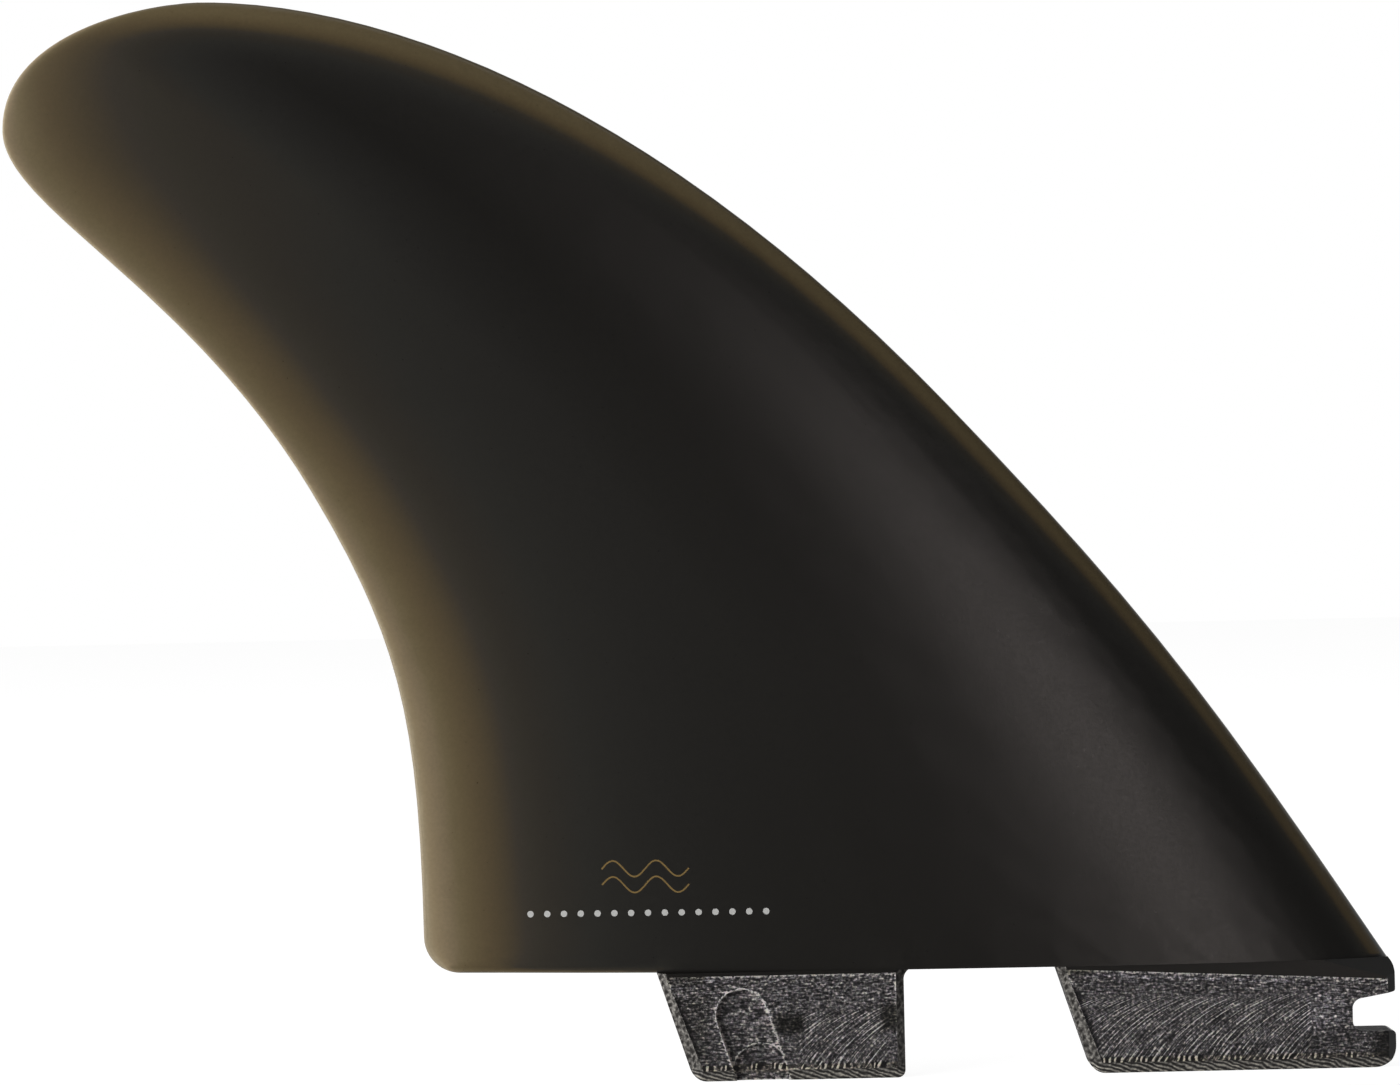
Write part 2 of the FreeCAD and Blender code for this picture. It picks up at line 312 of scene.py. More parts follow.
@dataclass(frozen=True)
class Window:
    """A soft-edged rectangle of the side view, in millimetres."""

    x: Span
    z: Span
    soft: float = 0.8
    # How far it rises for each millimetre forward
    slope: float = 0.0

    def mask(self, place: Place) -> Socket:
        """Make a value that is one inside the window and zero outside.

        Args:
            place: The place on the fin.

        Returns:
            The value.
        """
        tree = place.tree
        level = {0: place.x, 1: -self.slope, 2: place.z}
        level = add_node(tree, "ShaderNodeMath", level, operation="MULTIPLY_ADD")
        inside = None
        for value, (low, high) in ((place.x, self.x), (level, self.z)):
            for edge, way in ((low, self.soft / 2), (high, -self.soft / 2)):
                step = dict(zip(RANGE, (value, edge - way, edge + way)))
                step = add_node(tree, "ShaderNodeMapRange", step, interpolation_type="SMOOTHSTEP")
                if inside is not None:
                    step = add_node(tree, "ShaderNodeMath", {0: inside, 1: step}, operation="MULTIPLY")
                inside = step
        return inside


@dataclass(frozen=True)
class MilledLaminate:
    """The same laminate where a cutter has laid the glass cloth open: grey, speckled and combed by arcs."""

    name: str = "milled_glass_laminate"
    # Bare resin, cut cloth and the bright ends of cut threads
    tones: Tones = (
        (0.0, "#070708"),
        (0.3, "#1a191a"),
        (0.48, "#333132"),
        (0.66, "#545253"),
        (0.84, "#7b7978"),
        (1.0, "#b2afab"),
    )
    # The stretch of speck and groove together that the tones cover
    contrast: Span = (0.7, 1.31)
    # How far the threads stray to the warm or the cool side of grey
    stray: float = 0.5
    roughness: float = 0.75
    ior: float = 1.52
    speck_size: float = 0.36
    # Striations for each millimetre along, across and up, where the arcs stop
    striae: Triple = (1.1, 1.0, 4.2)
    # The cutter's radius, how far it moved between marks, and the height of its centre
    cutter: float = 22.5
    feed: float = 0.82
    centre: float = -26.0
    # Streaks for each millimetre across an arc and up it, and the noise that shifts the arcs, in radians
    streaks: Triple = (4.0, 0.45, 1.0)
    shifts: Triple = (0.5, 0.22, 1.0)
    drift: float = 9.0
    # The top of each wave is a ridge, which breaks off where a streak is weak
    ridge: Span = (0.2, 1.0)
    ridge_tone: Span = (-0.04, 0.2)
    ridge_break: Span = (0.34, 0.6)
    relief: float = 0.02
    # Light lines along grooves and steps, and painted shadow lines inside the heels, broken where the specks
    # are weak
    edge_breaks: Span = (0.2, 0.5)
    edge_tone: float = 0.6
    # Yarns cut off along the foot: their spacing, lean, wander and tone, and where they show
    yarn: float = 0.85
    yarn_lean: float = 0.25
    yarn_shift: float = 0.45
    yarn_drift: float = 12.0
    yarn_end: Span = (-0.1, 0.8)
    yarn_tone: Span = (-0.5, 0.55)
    yarn_break: Span = (0.36, 0.6)
    ticks: Window = Window((-52.0, 49.5), (-13.6, -12.75), 0.25)
    combed: tuple[Window, Window] = (
        Window((5.0, 39.0), (-13.6, -4.6), 1.2),
        Window((-31.5, -19.0), (-13.6, -5.5), 2.0),
    )
    # Where the face is darker, lighter or warmer than elsewhere, as factors of red, green and blue; two of
    # the dark windows are painted shade under the blade's overhang
    patches: tuple[tuple[Window, Triple], ...] = (
        (Window((47.6, 52.0), (-16.0, -9.4), 2.4), (0.14, 0.14, 0.13)),
        (Window((36.0, 46.0), (-12.8, -9.4), 2.0), (0.75, 0.75, 0.75)),
        (Window((38.0, 43.5), (-9.8, -4.0), 1.5), (1.4, 1.4, 1.45)),
        (Window((-34.6, -30.4), (-8.6, -5.8), 1.6), (0.16, 0.16, 0.14)),
        (Window((-20.2, -17.4), (-8.4, -4.6), 1.6), (0.24, 0.24, 0.21)),
        (Window((-48.0, -43.6), (-12.5, -3.0), 1.5), (0.72, 0.72, 0.68)),
        # Painted shade under the blade's overhang, on the tops of both tabs' rear ends
        (Window((2.0, 9.5), (-1.3, 0.5), 0.8), (0.45, 0.45, 0.4)),
        (Window((-53.0, -44.0), (-1.6, 0.5), 0.8), (0.4, 0.4, 0.36)),
        (Window((8.0, 36.0), (-1.2, -0.75), 0.3, -0.053), (1.9, 1.9, 2.0)),
        (Window((-48.5, -42.5), (-1.35, -0.95), 0.3), (2.0, 2.0, 2.1)),
        (Window((-52.0, 49.5), (-14.0, -12.8), 0.3), (1.04, 1.0, 0.86)),
    )

    def material(self) -> bpy.types.Material:
        """Build the material.

        Returns:
            The finished material.
        """
        material, tree = new_material(self.name)
        place = Place(tree)
        specks = {"Vector": place.spot, "Scale": 1 / self.speck_size, "Detail": 3.0}
        specks = add_node(tree, "ShaderNodeTexNoise", specks)
        marks = self.marks(place, specks)
        colour = add_node(tree, "ShaderNodeValToRGB", {"Fac": marks}, tones=self.tones)
        hue = {0: specks.node.outputs["Color"], 1: (self.stray,) * 3, 2: (1 - self.stray / 2,) * 3}
        factors = [add_node(tree, "ShaderNodeVectorMath", hue, operation="MULTIPLY_ADD")]
        for window, levels in self.patches:
            gain = {0: window.mask(place), 1: [level - 1 for level in levels], 2: (1.0, 1.0, 1.0)}
            factors.append(add_node(tree, "ShaderNodeVectorMath", gain, operation="MULTIPLY_ADD"))
        for factor in factors:
            colour = add_node(tree, "ShaderNodeVectorMath", {0: colour, 1: factor}, operation="MULTIPLY")
        finish_surface(tree, colour, self.roughness, self.ior, marks, self.relief)
        return material

    def marks(self, place: Place, specks: Socket) -> Socket:
        """Lay the specks of cut thread, the grooves, the yarn ends and the light edges over each other.

        Args:
            place: The place on the fin.
            specks: Fine noise round one half.

        Returns:
            A value round one half, which is both the tone and the relief.
        """
        tree = place.tree
        masks = [window.mask(place) for window in self.combed]
        share = add_node(tree, "ShaderNodeMath", {0: masks[0], 1: masks[1]}, operation="ADD")
        striae = stretched_noise(tree, place.spot, self.striae, 2.5)
        grooves = {"Factor": share, 2: striae, 3: self.combing(place)}
        grooves = add_node(tree, "ShaderNodeMix", grooves, data_type="FLOAT")
        both = add_node(tree, "ShaderNodeMath", {0: specks, 1: grooves}, operation="ADD")
        spread = add_node(tree, "ShaderNodeMapRange", dict(zip(RANGE, (both, *self.contrast))))
        yarns = self.yarn_ends(place)
        ended = add_node(tree, "ShaderNodeMath", {0: spread, 1: yarns}, operation="ADD")
        # Light lines at the tabs' edges, and painted shadow lines inside the heels
        edge = add_node(tree, "ShaderNodeAttribute", out="Fac", attribute_name=EDGE_ATTRIBUTE)
        unbroken = add_node(tree, "ShaderNodeMapRange", dict(zip(RANGE, (specks, *self.edge_breaks))))
        edge_lines_and_shadow = add_node(tree, "ShaderNodeMath", {0: edge, 1: unbroken}, operation="MULTIPLY")
        total = {0: edge_lines_and_shadow, 1: self.edge_tone, 2: ended}
        return add_node(tree, "ShaderNodeMath", total, operation="MULTIPLY_ADD")

    def combing(self, place: Place) -> Socket:
        """Draw the arcs that the cutter left, one ridge for each step of its feed, broken here and there.

        Args:
            place: The place on the fin.

        Returns:
            A value round one half.
        """
        tree = place.tree
        drop = add_node(tree, "ShaderNodeMath", {0: place.z, 1: self.centre}, operation="SUBTRACT")
        square = add_node(tree, "ShaderNodeMath", {0: drop, 1: drop}, operation="MULTIPLY")
        rest = add_node(tree, "ShaderNodeMath", {0: self.cutter**2, 1: square}, operation="SUBTRACT")
        clear = add_node(tree, "ShaderNodeMath", {0: rest, 1: 0.5}, operation="MAXIMUM")
        back = add_node(tree, "ShaderNodeMath", {0: clear, 1: 0.5}, operation="POWER")
        arc = add_node(tree, "ShaderNodeMath", {0: place.x, 1: back}, operation="ADD")
        along = add_node(tree, "ShaderNodeCombineXYZ", {0: arc, 1: place.z})
        streaks = stretched_noise(tree, along, self.streaks, 2.5)
        shifts = stretched_noise(tree, along, self.shifts, 2.0)
        turns = add_node(tree, "ShaderNodeMath", {0: arc, 1: 2 * math.pi / self.feed}, operation="MULTIPLY")
        wave = wandering_wave(tree, turns, shifts, self.drift)
        crest = dict(zip(RANGE, (wave, *self.ridge, *self.ridge_tone)))
        crest = add_node(tree, "ShaderNodeMapRange", crest)
        gate = add_node(tree, "ShaderNodeMapRange", dict(zip(RANGE, (streaks, *self.ridge_break))))
        return add_node(tree, "ShaderNodeMath", {0: crest, 1: gate, 2: streaks}, operation="MULTIPLY_ADD")

    def yarn_ends(self, place: Place) -> Socket:
        """Draw the pale ends of the yarns that the foot's bevel cuts off.

        Args:
            place: The place on the fin.

        Returns:
            A value that is zero away from the foot.
        """
        tree = place.tree
        wander = stretched_noise(tree, place.spot, (self.yarn_shift,) * 3, 1.0)
        lean = {0: place.z, 1: -self.yarn_lean, 2: place.x}
        lean = add_node(tree, "ShaderNodeMath", lean, operation="MULTIPLY_ADD")
        turns = add_node(tree, "ShaderNodeMath", {0: lean, 1: 2 * math.pi / self.yarn}, operation="MULTIPLY")
        wave = wandering_wave(tree, turns, wander, self.yarn_drift)
        tick = dict(zip(RANGE, (wave, *self.yarn_end, *self.yarn_tone)))
        tick = add_node(tree, "ShaderNodeMapRange", tick)
        strong = add_node(tree, "ShaderNodeMapRange", dict(zip(RANGE, (wander, *self.yarn_break))))
        foot = self.ticks.mask(place)
        near = add_node(tree, "ShaderNodeMath", {0: foot, 1: strong}, operation="MULTIPLY")
        return add_node(tree, "ShaderNodeMath", {0: tick, 1: near}, operation="MULTIPLY")


@dataclass(frozen=True)
class BevelledLaminate:
    """The same laminate where a bevel cuts its plies at a slant: pale dashes of cut yarn over dark resin."""

    name: str = "bevelled_glass_laminate"
    tones: Tones = (
        (0.0, "#0f0e0c"),
        (0.3, "#242220"),
        (0.5, "#484643"),
        (0.72, "#74716c"),
        (1.0, "#a9a497"),
    )
    roughness: float = 0.7
    ior: float = 1.52
    speck_size: float = 0.42
    # Along the foot: how far apart the cut yarns lie, and how flat, as their run for each rise
    yarn: float = 1.6
    lean: float = 2.7
    # On the heels the weave's two sets of yarns cross: their spacing, and the way each set repeats
    weave: float = 0.95
    crossing: tuple[Span, Span] = ((1.0, 0.3), (0.8, -0.7))
    # The noise that shifts the yarns, in marks for each millimetre, and how far, in radians
    shifts: float = 0.6
    drift: float = 9.0
    # How much lighter a yarn is than the resin, on the foot and on the heels
    yarn_tone: Span = (0.33, 0.2)
    heel_foot: float = -13.3
    heel_fade: float = 0.15
    # Darker above this height on the foot's bevel, and over all of the heels
    yarn_top: float = -13.95
    yarn_fade: float = 0.1
    upper_tone: float = -0.14
    relief: float = 0.03

    def material(self) -> bpy.types.Material:
        """Build the material.

        Returns:
            The finished material.
        """
        material, tree = new_material(self.name)
        place = Place(tree)
        specks = stretched_noise(tree, place.spot, (1 / self.speck_size,) * 3, 2.0)
        wander = stretched_noise(tree, place.spot, (self.shifts,) * 3, 1.0)
        waves = []
        for pitch, (forward, rise) in (
            (self.yarn, (1.0, self.lean)),
            (self.weave, self.crossing[0]),
            (self.weave, self.crossing[1]),
        ):
            turn = 2 * math.pi / pitch
            way = {0: place.spot, 1: (turn * forward, 0.0, turn * rise)}
            turns = add_node(tree, "ShaderNodeVectorMath", way, out="Value", operation="DOT_PRODUCT")
            waves.append(wandering_wave(tree, turns, wander, self.drift))
        crossed = add_node(tree, "ShaderNodeMath", {0: waves[1], 1: waves[2]}, operation="MAXIMUM")
        low, high = self.heel_foot - self.heel_fade, self.heel_foot + self.heel_fade
        on_heel = add_node(tree, "ShaderNodeMapRange", dict(zip(RANGE, (place.z, low, high))))
        dashes = {"Factor": on_heel, 2: waves[0], 3: crossed}
        dashes = add_node(tree, "ShaderNodeMix", dashes, data_type="FLOAT")
        strength = dict(zip(RANGE, (on_heel, 0.0, 1.0, *self.yarn_tone)))
        strength = add_node(tree, "ShaderNodeMapRange", strength)
        low, high = self.yarn_top - self.yarn_fade, self.yarn_top + self.yarn_fade
        shade = dict(zip(RANGE, (place.z, low, high, 0.0, self.upper_tone)))
        shade = add_node(tree, "ShaderNodeMapRange", shade)
        ground = add_node(tree, "ShaderNodeMath", {0: specks, 1: shade}, operation="ADD")
        drawn = {0: dashes, 1: strength, 2: ground}
        drawn = add_node(tree, "ShaderNodeMath", drawn, operation="MULTIPLY_ADD")
        colour = add_node(tree, "ShaderNodeValToRGB", {"Fac": drawn}, tones=self.tones)
        finish_surface(tree, colour, self.roughness, self.ior, drawn, self.relief)
        return material


@dataclass(frozen=True)
class PrintedInk:
    """A thin coat of opaque ink, duller than the satin round it."""

    name: str
    colour: str
    roughness: float = 0.4
    ior: float = 1.5

    def material(self) -> bpy.types.Material:
        """Build the material.

        Returns:
            The finished material.
        """
        material, tree = new_material(self.name)
        finish_surface(tree, linear(self.colour), self.roughness, self.ior)
        return material


@dataclass
class Patch:
    """One face of the construction model, as points in metres and triangles."""

    points: np.ndarray
    triangles: np.ndarray
    skin: Skin = Skin.SANDED

    @property
    def low(self) -> np.ndarray:
        """The lowest corner of its box, in millimetres."""
        return self.points.min(axis=0) / MM

    @property
    def high(self) -> np.ndarray:
        """The highest corner of its box, in millimetres."""
        return self.points.max(axis=0) / MM

    @property
    def normal(self) -> np.ndarray:
        """The mean direction it faces.

        Returns:
            The mean of its normals by area, not scaled to one.
        """
        a, b, c = (self.points[self.triangles[:, i]] for i in range(3))
        crosses = np.cross(b - a, c - a)
        return crosses.sum(axis=0) / np.linalg.norm(crosses, axis=1).sum()

    def border(self) -> np.ndarray:
        """Find the edges that only one of its triangles uses.

        Returns:
            Pairs of point numbers.
        """
        count: dict[tuple[int, int], int] = {}
        for triangle in self.triangles:
            for start, end in zip(triangle, np.roll(triangle, -1)):
                key = (min(start, end), max(start, end))
                count[key] = count.get(key, 0) + 1
        return np.array([edge for edge, times in count.items() if times == 1])

    def redrawn(self, pitches: tuple[Span, ...]) -> "Patch":
        """Replace the inside of the patch by an even lattice, with its border as it is.

        Args:
            pitches: Distance from the border in millimetres, and the lattice pitch used out to there.

        Returns:
            A patch with the same border and form.
        """
        flat = self.points[:, [0, 2]] / MM
        border = self.border()
        rim = np.unique(border)
        renumber = {old: new for new, old in enumerate(rim)}
        edges = [(renumber[a], renumber[b]) for a, b in border]
        corners = flat[rim]
        spots = lattice(corners, edges, pitches)
        cloud = [Vector(spot) for spot in np.vstack([corners, spots])]
        drawn, _, faces, _, _, _ = delaunay_2d_cdt(cloud, edges, [], 1, SAME_POINT)
        drawn = np.array([(spot.x, spot.y) for spot in drawn])
        tree = BVHTree.FromPolygons(self.points.tolist(), self.triangles.tolist())
        points = np.zeros((len(drawn), 3))
        points[:, [0, 2]] = drawn * MM
        for row in points:
            row[1] = depth_at(tree, row[0], row[2])
        points[:, 1] = points[:, 1].clip(self.points[:, 1].min(), self.points[:, 1].max())
        points[: len(rim)] = self.points[rim]
        triangles = np.array([list(face) for face in faces])
        if self.normal[1] > 0:
            triangles = triangles[:, ::-1]
        return Patch(points, triangles, self.skin)


def along_border(patch: Patch, step: float) -> list[np.ndarray]:
    """Walk along the border of a patch.

    Args:
        patch: The patch.
        step: The distance between points, in millimetres.

    Returns:
        Points in millimetres.
    """
    spots = []
    for start, end in patch.points[patch.border()] / MM:
        count = max(1, round(float(np.linalg.norm(end - start)) / step))
        spots += [start + (end - start) * number / count for number in range(count)]
    return spots


def depth_at(tree: BVHTree, x: float, z: float) -> float:
    """Find how deep a patch lies behind a point of the side view.

    Args:
        tree: The patch's search tree.
        x: Place along the fin in metres.
        z: Height in metres.

    Returns:
        The place across the fin in metres.
    """
    hit = tree.ray_cast(Vector((x, -CLEAR * MM, z)), Vector((0, 1, 0)))[0]
    if hit is None:
        hit = tree.find_nearest(Vector((x, 0, z)))[0]
    return hit.y


def lattice(
    corners: np.ndarray, edges: list[tuple[int, int]], pitches: tuple[Span, ...]
) -> np.ndarray:
    """Lay lattice points inside an outline, closer together near it.

    Args:
        corners: The outline's points in the side view, in millimetres.
        edges: Pairs of point numbers.
        pitches: Distance from the outline and the pitch used out to there, finest first.

    Returns:
        The points that lie inside and clear of the outline.
    """
    starts = corners[[a for a, _ in edges]]
    spans = corners[[b for _, b in edges]] - starts
    lengths = np.maximum((spans**2).sum(axis=1), TINY)
    low, high = corners.min(axis=0), corners.max(axis=0)
    kept = []
    inner = 0.0
    for reach, pitch in pitches:
        first = np.floor(low / pitch) * pitch
        xs = np.arange(first[0], high[0] + pitch, pitch)
        zs = np.arange(first[1], high[1] + pitch, pitch)
        grid = np.stack(np.meshgrid(xs, zs), axis=-1).reshape(-1, 2)
        for part in np.array_split(grid, max(1, len(grid) // BATCH)):
            away = part[:, None, :] - starts[None]
            along = np.clip((away * spans).sum(axis=2) / lengths, 0, 1)
            distance = np.linalg.norm(away - along[..., None] * spans, axis=2).min(axis=1)
            crosses = (away[..., 1] < 0) != (away[..., 1] - spans[:, 1] < 0)
            rise = np.where(spans[:, 1] == 0, TINY, spans[:, 1])
            right = starts[:, 0] + away[..., 1] * spans[:, 0] / rise > part[:, None, 0]
            inside = (crosses & right).sum(axis=1) % 2 == 1
            wanted = inside & (distance >= max(inner, LATTICE_GAP * pitch)) & (distance < reach)
            kept.append(part[wanted])
        inner = reach
    return np.vstack(kept)


@dataclass(frozen=True)
class LightThrough:
    """How much of the light behind the fin finds its way through the tinted glass to a point of its skin."""

    rays: int = 32
    # How far the rays lean away from straight through, where one is flat along the face
    widest: float = 0.95
    # Millimetres of laminate that let through 37 percent
    reach: float = 1.3
    start_depth: float = 0.02
    # Where the blade begins
    foot: float = 0.05
    # Along the trailing edge: height in millimetres, how clear the glass is and how fast it darkens inward
    trailing_heights: Row = (4.0, 20.0, 35.0, 68.0, 80.0, 95.0, 107.0, 120.0)
    trailing: Row = (1.07, 1.04, 1.03, 0.93, 0.87, 0.88, 0.82, 0.8)
    trailing_fade: Row = (1.0, 1.0, 1.0, 1.0, 1.0, 0.97, 0.82, 0.74)
    # Along the leading edge the dark cloth stops short: height, how far in it reaches half strength,
    # and how light the clear rim is
    leading_heights: Row = (6.0, 31.0, 65.0, 98.0, 117.0, 134.0)
    cloth_edge: Row = (1.5, 1.55, 2.15, 2.45, 3.5, 3.9)
    clear_rim: Row = (0.42, 0.43, 0.45, 0.46, 0.465, 0.465)
    cloth_fall: float = 2.8
    # The line that parts the two sides, by height, and how wide the change across it is
    spine_heights: Row = (0.0, 40.0, 80.0, 110.0, 135.0)
    spine: Row = (-10.0, -24.0, -56.0, -88.0, -124.0)
    spine_width: float = 20.0

    def directions(self) -> list[tuple[Vector, float]]:
        """Spread rays over the half-space behind the fin.

        Returns:
            Each ray's direction and its weight.
        """
        spread = []
        for number in range(self.rays):
            along = 1 - (number + 0.5) / self.rays * self.widest
            across = math.sqrt(1 - along * along)
            # The golden angle, so that no two rays line up
            turn = number * math.pi * (1 + math.sqrt(5))
            spread.append((Vector((across * math.cos(turn), along, across * math.sin(turn))), along))
        return spread

    def measure(
        self, points: list[Vector], normals: list[Vector], tree: BVHTree, rim: KDTree
    ) -> list[float]:
        """Measure the light at points of the skin.

        No light comes up through the base, and none shows in the tabs.

        Args:
            points: The points, in metres.
            normals: The way the skin faces there.
            tree: The whole skin's search tree.
            rim: Points along the blade's outline, in metres.

        Returns:
            The square root of the share of light, which spreads the dark tones out.
        """
        spread = self.directions()
        total = sum(weight for _, weight in spread)
        shares = []
        for point, normal in zip(points, normals):
            if point.z < self.foot * MM:
                shares.append(0.0)
                continue
            start = point - normal * self.start_depth * MM
            # Rays from the inner face go out through the outer one
            turn = -1 if normal.y > 0.5 else 1
            share = 0.0
            for direction, weight in spread:
                _, face, _, depth = tree.ray_cast(start, direction * turn)
                if face is None:
                    share += weight
                elif face.z > -FACING:
                    share += weight * math.exp(-depth / MM / self.reach)
            inward = rim.find(Vector((point.x, 0, point.z)))[2] / MM
            shares.append(self.toned(point / MM, math.sqrt(share / total), inward))
        return shares

    def toned(self, point: Vector, share: float, inward: float) -> float:
        """Fit the light to how clear the glass is on each side of the blade.

        Args:
            point: The point, in millimetres.
            share: The light that gets through the wall there.
            inward: How far the point lies from the outline, in millimetres.

        Returns:
            The light that shows.
        """
        height = point.z
        spine = np.interp(height, self.spine_heights, self.spine)
        side = float(np.clip((point.x - spine) / self.spine_width + 0.5, 0, 1))
        fade = np.interp(height, self.trailing_heights, self.trailing_fade)
        back = share**fade * np.interp(height, self.trailing_heights, self.trailing)
        cloth = np.interp(height, self.leading_heights, self.cloth_edge)
        clear = np.interp(height, self.leading_heights, self.clear_rim)
        front = clear / (1 + (inward / cloth) ** self.cloth_fall)
        return float(back + (front - back) * side)


@dataclass
class LaminateFin:
    """The whole fin: the construction model's own faces, redrawn finely enough to carry wall thickness."""

    node: str = "fin"
    name: str = "fin_body"
    slot: str = "smoke_laminate"
    blade_pitches: tuple[Span, ...] = ((3.0, 0.5), (9.0, 1.0), (1000.0, 2.0))
    tab_pitches: tuple[Span, ...] = ((1000.0, 0.3),)
    crease: float = 32.0
    # How far apart points are taken along the tabs' edges and the blade's outline, and where that starts
    tab_step: float = 0.1
    blade_step: float = 0.3
    outline_foot: float = 0.3
    # Above this height lies only the blade
    blade_foot: float = 0.5
    # The base of the blade is no lower than this, and the skin band under it ends above band_foot
    base: float = -0.1
    band_foot: float = -3.2
    # How far out the tabs' grooves stay and the skin band starts, either side of the milled faces
    groove_side: float = 3.1
    band_side: float = 3.3
    # The front end lies ahead of nose, and the slanting facet over it ahead of facet_back, facing up
    nose: float = 49.2
    facet_back: float = 30.0
    facet_rise: float = 0.2
    # A bevel's normal lies across the fin by more than this
    bevel_across: float = 0.5
    # How wide the light lines on the tabs are, and how many times wider the painted shadow lines inside the
    # heels
    edge_width: float = 0.32
    shadow_times: float = 2.5
    # How far a heel's painted shadow line moves forward for each millimetre down, and where it is looked for
    heel_rake: float = math.tan(math.radians(18))
    heel_reach: float = 0.4
    heel_foot: float = -13.0
    light: LightThrough = field(default_factory=LightThrough)
    sanded: SandedLaminate = field(default_factory=SandedLaminate)
    milled: MilledLaminate = field(default_factory=MilledLaminate)
    bevelled: BevelledLaminate = field(default_factory=BevelledLaminate)

    def patches(self) -> list[Patch]:
        """Split the construction mesh into its faces, which share no points.

        Returns:
            One patch for each face.
        """
        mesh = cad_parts[self.node].data
        points = np.array([vertex.co for vertex in mesh.vertices])
        triangles = np.array([list(polygon.vertices) for polygon in mesh.polygons])
        owner = np.arange(len(points))
        while True:
            least = owner[triangles].min(axis=1)
            previous = owner.copy()
            for column in range(3):
                np.minimum.at(owner, triangles[:, column], least)
            owner = owner[owner]
            if (owner == previous).all():
                break
        found = []
        for label in np.unique(owner[triangles[:, 0]]):
            mine = triangles[owner[triangles[:, 0]] == label]
            used, numbers = np.unique(mine, return_inverse=True)
            found.append(Patch(points[used], numbers.reshape(-1, 3)))
        return found

    def classify(self, patch: Patch) -> Patch:
        """Say whether a face was sanded with the blade or milled with the tabs, and redraw the broad ones.

        Args:
            patch: A face of the construction model.

        Returns:
            The face as it is shown.
        """
        across = abs(patch.normal[1])
        broad = across > FACING
        if patch.high[2] > self.blade_foot:
            return patch.redrawn(self.blade_pitches) if broad else patch
        under_blade = patch.normal[2] < -FACING and patch.low[2] > self.base
        front_end = patch.low[0] > self.nose
        band = patch.low[1] < -self.band_side and patch.low[2] > self.band_foot
        outward_and_up = patch.normal[2] > self.facet_rise and patch.normal[1] < 0
        facet = outward_and_up and patch.low[0] > self.facet_back
        if under_blade or front_end or band or facet:
            return patch
        patch.skin = Skin.BEVELLED if self.bevel_across < across < FACING else Skin.MILLED
        return patch.redrawn(self.tab_pitches) if broad else patch

    def build(self) -> bpy.types.Object:
        """Join the faces into one closed mesh that replaces the construction model's.

        Returns:
            The fin.
        """
        patches = [self.classify(patch) for patch in self.patches()]
        points = np.vstack([patch.points for patch in patches])
        starts = np.cumsum([0] + [len(patch.points) for patch in patches])
        triangles = np.vstack([patch.triangles + start for patch, start in zip(patches, starts)])
        skins = np.concatenate([[patch.skin.value] * len(patch.triangles) for patch in patches])
        keys = np.round(points / MM, 4)
        _, first, merged = np.unique(keys, axis=0, return_index=True, return_inverse=True)
        points, triangles = points[first], merged.reshape(-1)[triangles]
        mesh = bpy.data.meshes.new(self.name)
        mesh.from_pydata(points.tolist(), [], triangles.tolist())
        mesh.polygons.foreach_set("material_index", skins)
        mesh.validate()
        mesh.shade_smooth()
        mesh.set_sharp_from_angle(angle=math.radians(self.crease))
        for finish in (self.sanded, self.milled, self.bevelled):
            mesh.materials.append(finish.material())
        self.measure_light(mesh, patches)
        self.mark_edges(mesh, patches)
        fin = add_object(self.name, mesh)
        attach(fin, BODY)
        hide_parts(self.node)
        return fin

    def mark_edges(self, mesh: bpy.types.Mesh, patches: list[Patch]) -> None:
        """Keep one on the light lines of the tabs and minus one on the dark ones, fading beside them.

        Grooves, pockets and the step under the blade have a light line.
        Inside a heel's bevel lies a dark line of painted shadow.

        Args:
            mesh: The finished mesh.
            patches: The faces it was made of.
        """
        spots = []
        for patch in patches:
            if patch.skin is not Skin.MILLED or abs(patch.normal[1]) < FACING:
                continue
            grooved = max(abs(patch.low[1]), abs(patch.high[1])) < self.groove_side
            for spot in along_border(patch, self.tab_step):
                heel = patch.low[0] - spot[2] * self.heel_rake
                if grooved or spot[2] > self.band_foot:
                    spots.append((spot, 1.0))
                elif spot[0] < heel + self.heel_reach and spot[2] > self.heel_foot:
                    # A painted shadow line inside the heel's bevel
                    spots.append((spot, -1.0))
        tree = KDTree(len(spots))
        for number, (spot, _) in enumerate(spots):
            tree.insert((spot[0], 0, spot[2]), number)
        tree.balance()
        marks = [0.0] * len(mesh.vertices)
        for vertex in mesh.vertices:
            if vertex.co.z < self.blade_foot * MM:
                _, nearest, away = tree.find((vertex.co.x / MM, 0, vertex.co.z / MM))
                level = spots[nearest][1]
                width = self.edge_width if level > 0 else self.shadow_times * self.edge_width
                marks[vertex.index] = level * max(0.0, 1 - away / width)
        mesh.attributes.new(EDGE_ATTRIBUTE, "FLOAT", "POINT").data.foreach_set("value", marks)

    def measure_light(self, mesh: bpy.types.Mesh, patches: list[Patch]) -> None:
        """Keep the light that comes through at each point.

        Args:
            mesh: The finished mesh.
            patches: The faces it was made of.
        """
        tall = [patch for patch in patches if patch.high[2] > self.blade_foot]
        blades = [patch for patch in tall if abs(patch.normal[1]) > FACING]
        edges = [spot for patch in blades for spot in along_border(patch, self.blade_step)]
        outline = [spot for spot in edges if spot[2] > self.outline_foot]
        rim = KDTree(len(outline))
        for number, spot in enumerate(outline):
            rim.insert(Vector((spot[0], 0, spot[2])) * MM, number)
        rim.balance()
        points = [vertex.co for vertex in mesh.vertices]
        normals = [vertex.normal for vertex in mesh.vertices]
        tree = BVHTree.FromPolygons(points, [list(p.vertices) for p in mesh.polygons])
        attribute = mesh.attributes.new(LIGHT_ATTRIBUTE, "FLOAT", "POINT")
        attribute.data.foreach_set("value", self.light.measure(points, normals, tree, rim))


